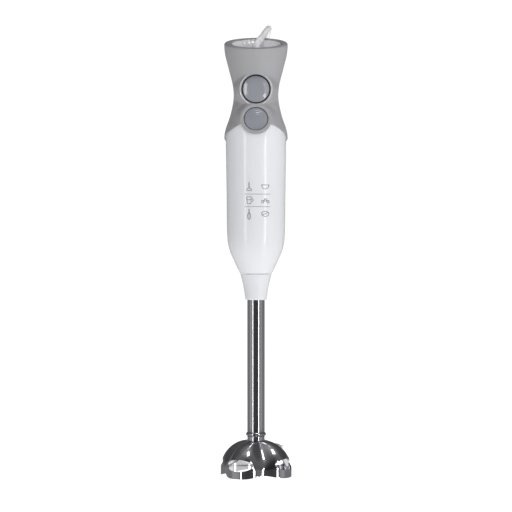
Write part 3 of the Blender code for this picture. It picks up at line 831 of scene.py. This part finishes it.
def make_bell():
    rise = BELL_TOP - BELL_EQUATOR
    heights = [BELL_NECK_TOP, 35.4, 34.3, BELL_TOP]
    heights += [BELL_EQUATOR + rise * math.sin(math.radians(90 - 2.5 * i)) for i in range(1, 36)]
    heights += [BELL_EQUATOR, 6.5, 5.0, 3.5, 2.0, 1.0, 0.0]
    count = 192
    rows = [[bell_point(height, 2 * math.pi * i / count) for i in range(count)] for height in heights]
    made = add("bell_dome", grid_mesh("bell_dome", rows), "polished_steel", "foot",
               ["bell"])
    bake(made, "SOLIDIFY", {"thickness": BELL_WALL * MM, "offset": -1.0})
    size = Matrix.Diagonal((WINDOW_HEIGHT / 2, WINDOW_WIDTH / 2, 1, 1))
    outwards = Matrix.Rotation(math.radians(90), 4, "Y")
    for i in range(4):
        drum = turned("window", [(0, 42.0), (1, 42.0), (1, 20.0), (0, 20.0)], 72, closed=False)
        drum.transform(size)
        turn = Matrix.Rotation(math.radians(LOBE_AZIMUTH - 90 + 90 * i), 4, "Z")
        drum.transform(Matrix.Translation((0, 0, WINDOW_Z * MM)) @ turn @ outwards)
        carve(made, drum)
    bake(made, "BEVEL", {"width": 0.3 * MM, "segments": 2, "limit_method": "ANGLE",
                         "angle_limit": math.radians(50)})


def make_foot():
    make_bell()
    taper = smooth([(14.3, SEAM_Z - 0.2), (13.4, 182.0), (11.9, 176.0), (10.5, 168.0), (9.9, 163.4)], 10)
    profile = [(BORE_R, SEAM_Z - 0.15), (13.95, SEAM_Z - 0.15)] + taper
    profile += [(9.75, 162.5), (9.4, 161.95), (8.9, 161.7), (8.35, 161.9), (8.3, 176.2), (BORE_R, 176.2)]
    mesh = turned("collar_moulded", profile[::-1], 128)
    add("collar_moulded", mesh, "white_plastic", "foot", ["foot_collar"])
    bead = [(TUBE_R, BEAD_TOP), (8.15, 40.0), (8.7, 39.7), (9.1, 39.0), (9.2, 38.2), (9.1, 37.5), (8.6, 36.95),
            (TUBE_R, TUBE_BOTTOM)]
    heights = [TUBE_TOP - (TUBE_TOP - BEAD_TOP) * i / 24 for i in range(24)]
    mesh = turned("steel_tube", [(TUBE_BORE, TUBE_TOP)] + [(TUBE_R, z) for z in heights] + bead
                  + [(TUBE_BORE, TUBE_BOTTOM)], 128)
    add("steel_tube", mesh, "polished_steel", "foot", ["foot_tube"])
    mesh = turned("hub_bush", rounded([(6.3, 46.0), (6.3, 26.0), (2.62, 26.0), (2.62, 46.0)], 0.4), 72)
    add("hub_bush", mesh, "silver_plastic", "foot", ["lower_bush"])
    mesh = turned("hub_seal", rounded([(6.9, 25.7), (6.9, 23.6), (5.2, 22.0), (2.65, 22.0), (2.65, 25.7)],
                                      0.4), 72)
    add("hub_seal", mesh, "black_rubber", "foot", ["shaft_seal"])


def make_blade():
    """Four pitched wings on a hub, each with a ground cutting edge."""
    mesh = turned("blade_hub", rounded([(5.2, BLADE_Z + 2.6), (5.2, BLADE_Z - 1.1), (2.8, BLADE_Z - 1.1),
                                        (2.8, BLADE_Z + 2.6)], 0.35), 64)
    add("blade_hub", mesh, "polished_steel", "blade", ["blade"])
    stations = 16
    for i in range(4):
        rows = []
        for k in range(stations + 1):
            along = WING_ROOT + (BLADE_TIP - WING_ROOT) * k / stations
            share = k / stations
            front = -3.6 - 0.9 * math.sin(math.pi * min(share * 1.3, 1)) + 2.4 * max(share - 0.75, 0) / 0.25
            back = 3.0 + 0.4 * math.sin(math.pi * share) - 1.6 * max(share - 0.8, 0) / 0.2
            half = 0.6 - 0.1 * share
            rows.append([(along, front, -0.08), (along, front + 1.3, half), (along, 0, half),
                         (along, back - 0.2, half), (along, back, 0.2), (along, back, -0.2),
                         (along, back - 0.2, -half), (along, 0, -half), (along, front + 1.3, -half)])
        corners = len(rows[0])
        first = [(WING_ROOT, 0, 0)] * corners
        last = [(BLADE_TIP, 0, 0)] * corners
        mesh = grid_mesh(f"blade_wing_{i}", [first] + rows + [last])
        weld(mesh)
        pitch = WING_PITCH if i % 2 else -WING_PITCH
        place = (Matrix.Translation((0, 0, (BLADE_Z + 1.3) * MM))
                 @ Matrix.Rotation(math.radians(90 * i), 4, "Z")
                 @ Matrix.Rotation(math.radians(pitch), 4, "Y")
                 @ Matrix.Rotation(math.radians(WING_LEAN), 4, "X"))
        add(f"blade_wing_{i}", mesh, "polished_steel", "blade", matrix=place, look=GROUND_STEEL, sharp=25)
    cap = smooth([(0.0, 8.25), (2.2, 8.3), (3.7, 8.7), (4.4, 9.5)], 5)
    mesh = turned("blade_nut", [(0, 10.5), (4.4, 10.5)] + cap[::-1], 72, closed=False)
    add("blade_nut", mesh, "polished_steel", "blade", ["blade_cap"])


make_foot()
make_blade()


# ---------------------------------------------------------------- printed signs

PRINT_LIFT = 0.1             # of the ink above the body
PRINT_THICKNESS = 0.05
STROKE_STEP = 0.8            # longest flat piece of a stroke
SIGN_LEFT = -6.3             # x of the two columns of signs
SIGN_RIGHT = 8.4


def print_sign(name, quads):
    """A flat sign of quads in the x-z plane, wrapped on the white body a hair above its surface."""
    mesh = bpy.data.meshes.new(name)
    cage = bmesh.new()
    for loop in quads:
        verts = []
        for x, z in loop:
            radius = radius_at(BODY_LINE, z) + PRINT_LIFT
            verts.append(cage.verts.new(Vector((x, -math.sqrt(radius ** 2 - x ** 2), z)) * MM))
        cage.faces.new(verts)
    bmesh.ops.recalc_face_normals(cage, faces=cage.faces)
    cage.to_mesh(mesh)
    cage.free()
    made = add(name, mesh, "dark_plastic", "housing", look=PRINT)
    bake(made, "SOLIDIFY", {"thickness": PRINT_THICKNESS * MM, "offset": 0.0})


def stroke(points, width=0.42):
    """Quads along a line of (x, z) points, short enough to follow the round body."""
    quads = []
    for start, end in zip(points, points[1:]):
        run = Vector(end) - Vector(start)
        side = Vector((-run.y, run.x)).normalized() * width / 2
        overlap = run.normalized() * width * 0.3
        count = math.ceil(run.length / STROKE_STEP)
        for i in range(count):
            first = Vector(start) + run * i / count - (overlap if i == 0 else Vector((0, 0)))
            last = Vector(start) + run * (i + 1) / count + (overlap if i == count - 1 else Vector((0, 0)))
            quads.append([tuple(at) for at in (first + side, last + side, last - side, first - side)])
    return quads


def bar(z, x0, x1):
    return stroke([(x0, z), (x1, z)], 0.3)


def oval(x, z, a, b, start=0, end=360):
    """A stroke round (x, z) with half axes a and b, from start to end degrees."""
    points = []
    for i in range(15):
        angle = math.radians(start + (end - start) * i / 14)
        points.append((x + a * math.cos(angle), z + b * math.sin(angle)))
    return stroke(points)


def cube(x, z):
    """The outline of a small block, from its lower left corner."""
    return stroke([(x, z), (x + 1.8, z), (x + 1.8, z + 2.0), (x, z + 2.0), (x, z)])


def make_signs():
    """Plain kitchen pictograms: wand, jug and whisk on the left, bowl, cubes and leaf on the right."""
    print_sign("sign_line_upper", bar(258.1, -10.5, 13.0))
    print_sign("sign_line_lower", bar(246.7, -10.5, 13.0))
    x = SIGN_LEFT
    print_sign("sign_wand", stroke([(x, 268.6), (x, 263.6)], 0.7) + oval(x, 261.6, 2.2, 2.0, 0, 180)
               + stroke([(x - 2.2, 261.4), (x + 2.2, 261.4)]))
    jug = stroke([(x - 2.2, 255.6), (x - 1.7, 249.4), (x + 1.7, 249.4), (x + 2.2, 255.6), (x - 2.2, 255.6)])
    level = stroke([(x - 1.9, 253.0), (x + 1.9, 253.0)])
    print_sign("sign_jug", jug + level + oval(x + 2.6, 252.6, 1.1, 1.6, -80, 80))
    print_sign("sign_whisk", stroke([(x, 244.6), (x, 241.0)], 0.7) + oval(x, 238.2, 1.5, 2.9)
               + stroke([(x, 241.0), (x, 235.4)]))
    x = SIGN_RIGHT
    print_sign("sign_bowl", oval(x, 266.4, 3.4, 3.6, 180, 360) + stroke([(x - 3.6, 266.4), (x + 3.6, 266.4)]))
    cubes = []
    for k in range(3):
        cubes += cube(x - 3.2 + 2.4 * k, 250.2 + 1.5 * (k % 2))
    print_sign("sign_cubes", cubes)
    print_sign("sign_leaf", oval(x, 240.2, 3.3, 2.3) + stroke([(x - 2.6, 239.2), (x + 2.4, 241.4)]))


make_signs()


# ---------------------------------------------------------------- carried-over CAD nodes

SLOT_OF = {row["node"]: row["material_slot"] for row in frame["record"]["subparts"]}
for name, node in NODES.items():
    node.data.materials.clear()
    node.data.materials.append(LOOKS[SLOT_OF[name]])
